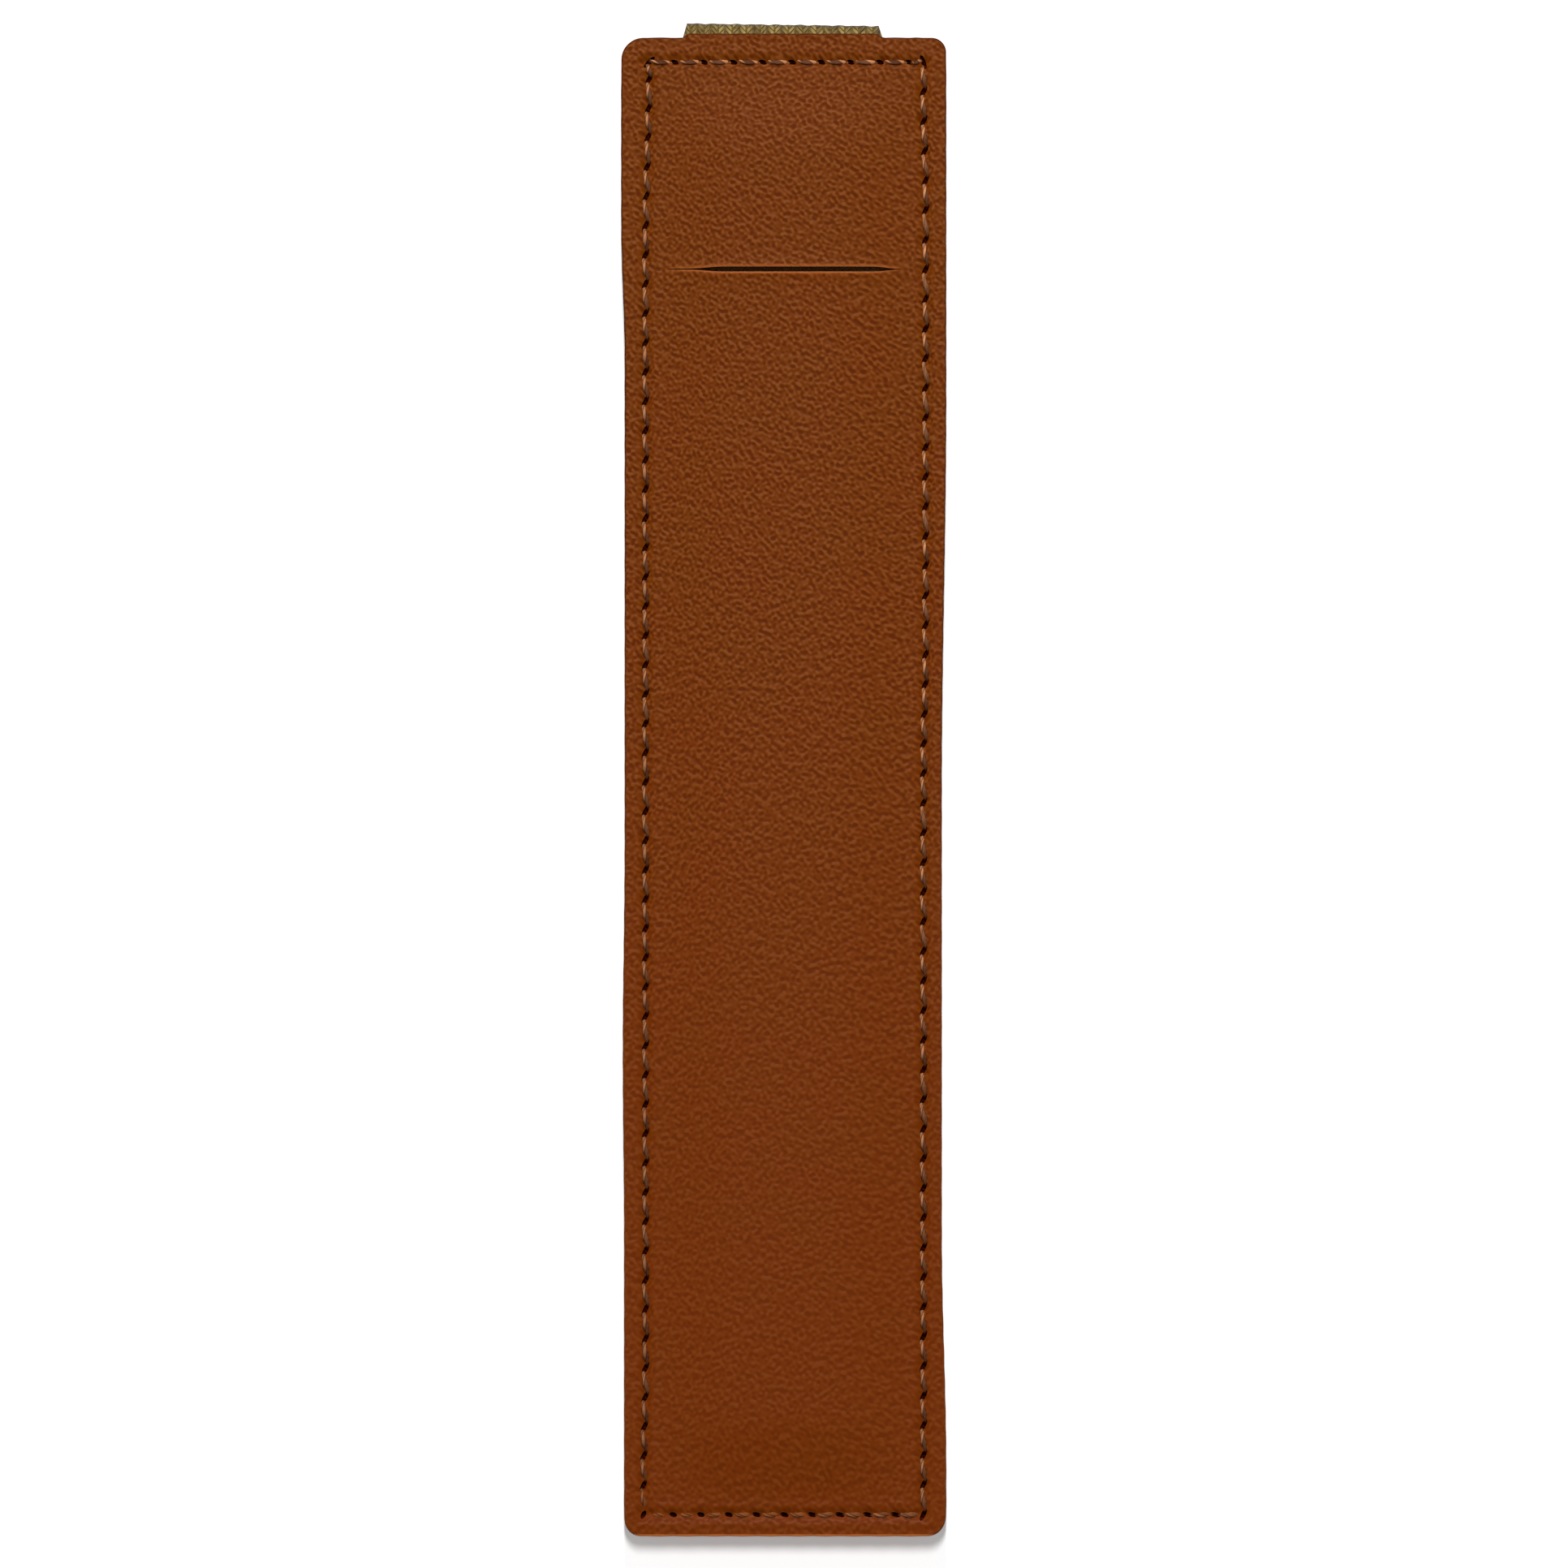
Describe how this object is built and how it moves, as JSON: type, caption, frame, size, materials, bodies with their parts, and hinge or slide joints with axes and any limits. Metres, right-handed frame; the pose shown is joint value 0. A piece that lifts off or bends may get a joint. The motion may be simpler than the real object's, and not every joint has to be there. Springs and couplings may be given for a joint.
{
  "type": "pen sleeve on an elastic band",
  "caption": "Flat sewn leather pen sleeve with a slit mouth across its front and a woven elastic band behind it that grips a notebook cover.",
  "frame": {"origin": "on the resting surface, under the middle of the leather, with the sleeve lying on its back", "axes": "+Z out of the front panel, +Y along the sleeve towards the mouth end, +X to the right as seen from the front"},
  "size_m": [0.0332, 0.1555, 0.0044],
  "materials": {
    "leather": "fine pebble grain, satin",
    "thread": "twisted thread, satin",
    "elastic": "woven, matt"
  },
  "bodies": {
    "sleeve": {"front_panel": "leather", "back_panel": "leather", "needle_thread": "thread", "bobbin_thread": "thread", "elastic_top_end": "elastic", "elastic_upper_leg": "elastic", "elastic_lower_leg": "elastic", "elastic_bottom_end": "elastic"},
    "elastic_run": {"elastic_run": "elastic"}
  },
  "joints": [
    {"name": "elastic_pull", "type": "slide", "parent": "sleeve", "child": "elastic_run", "axis": [0, 0, -1], "range_m": [0, 0.02], "stiffness_N_per_m": 40, "deforming": ["elastic_upper_leg", "elastic_lower_leg"]}
  ]
}
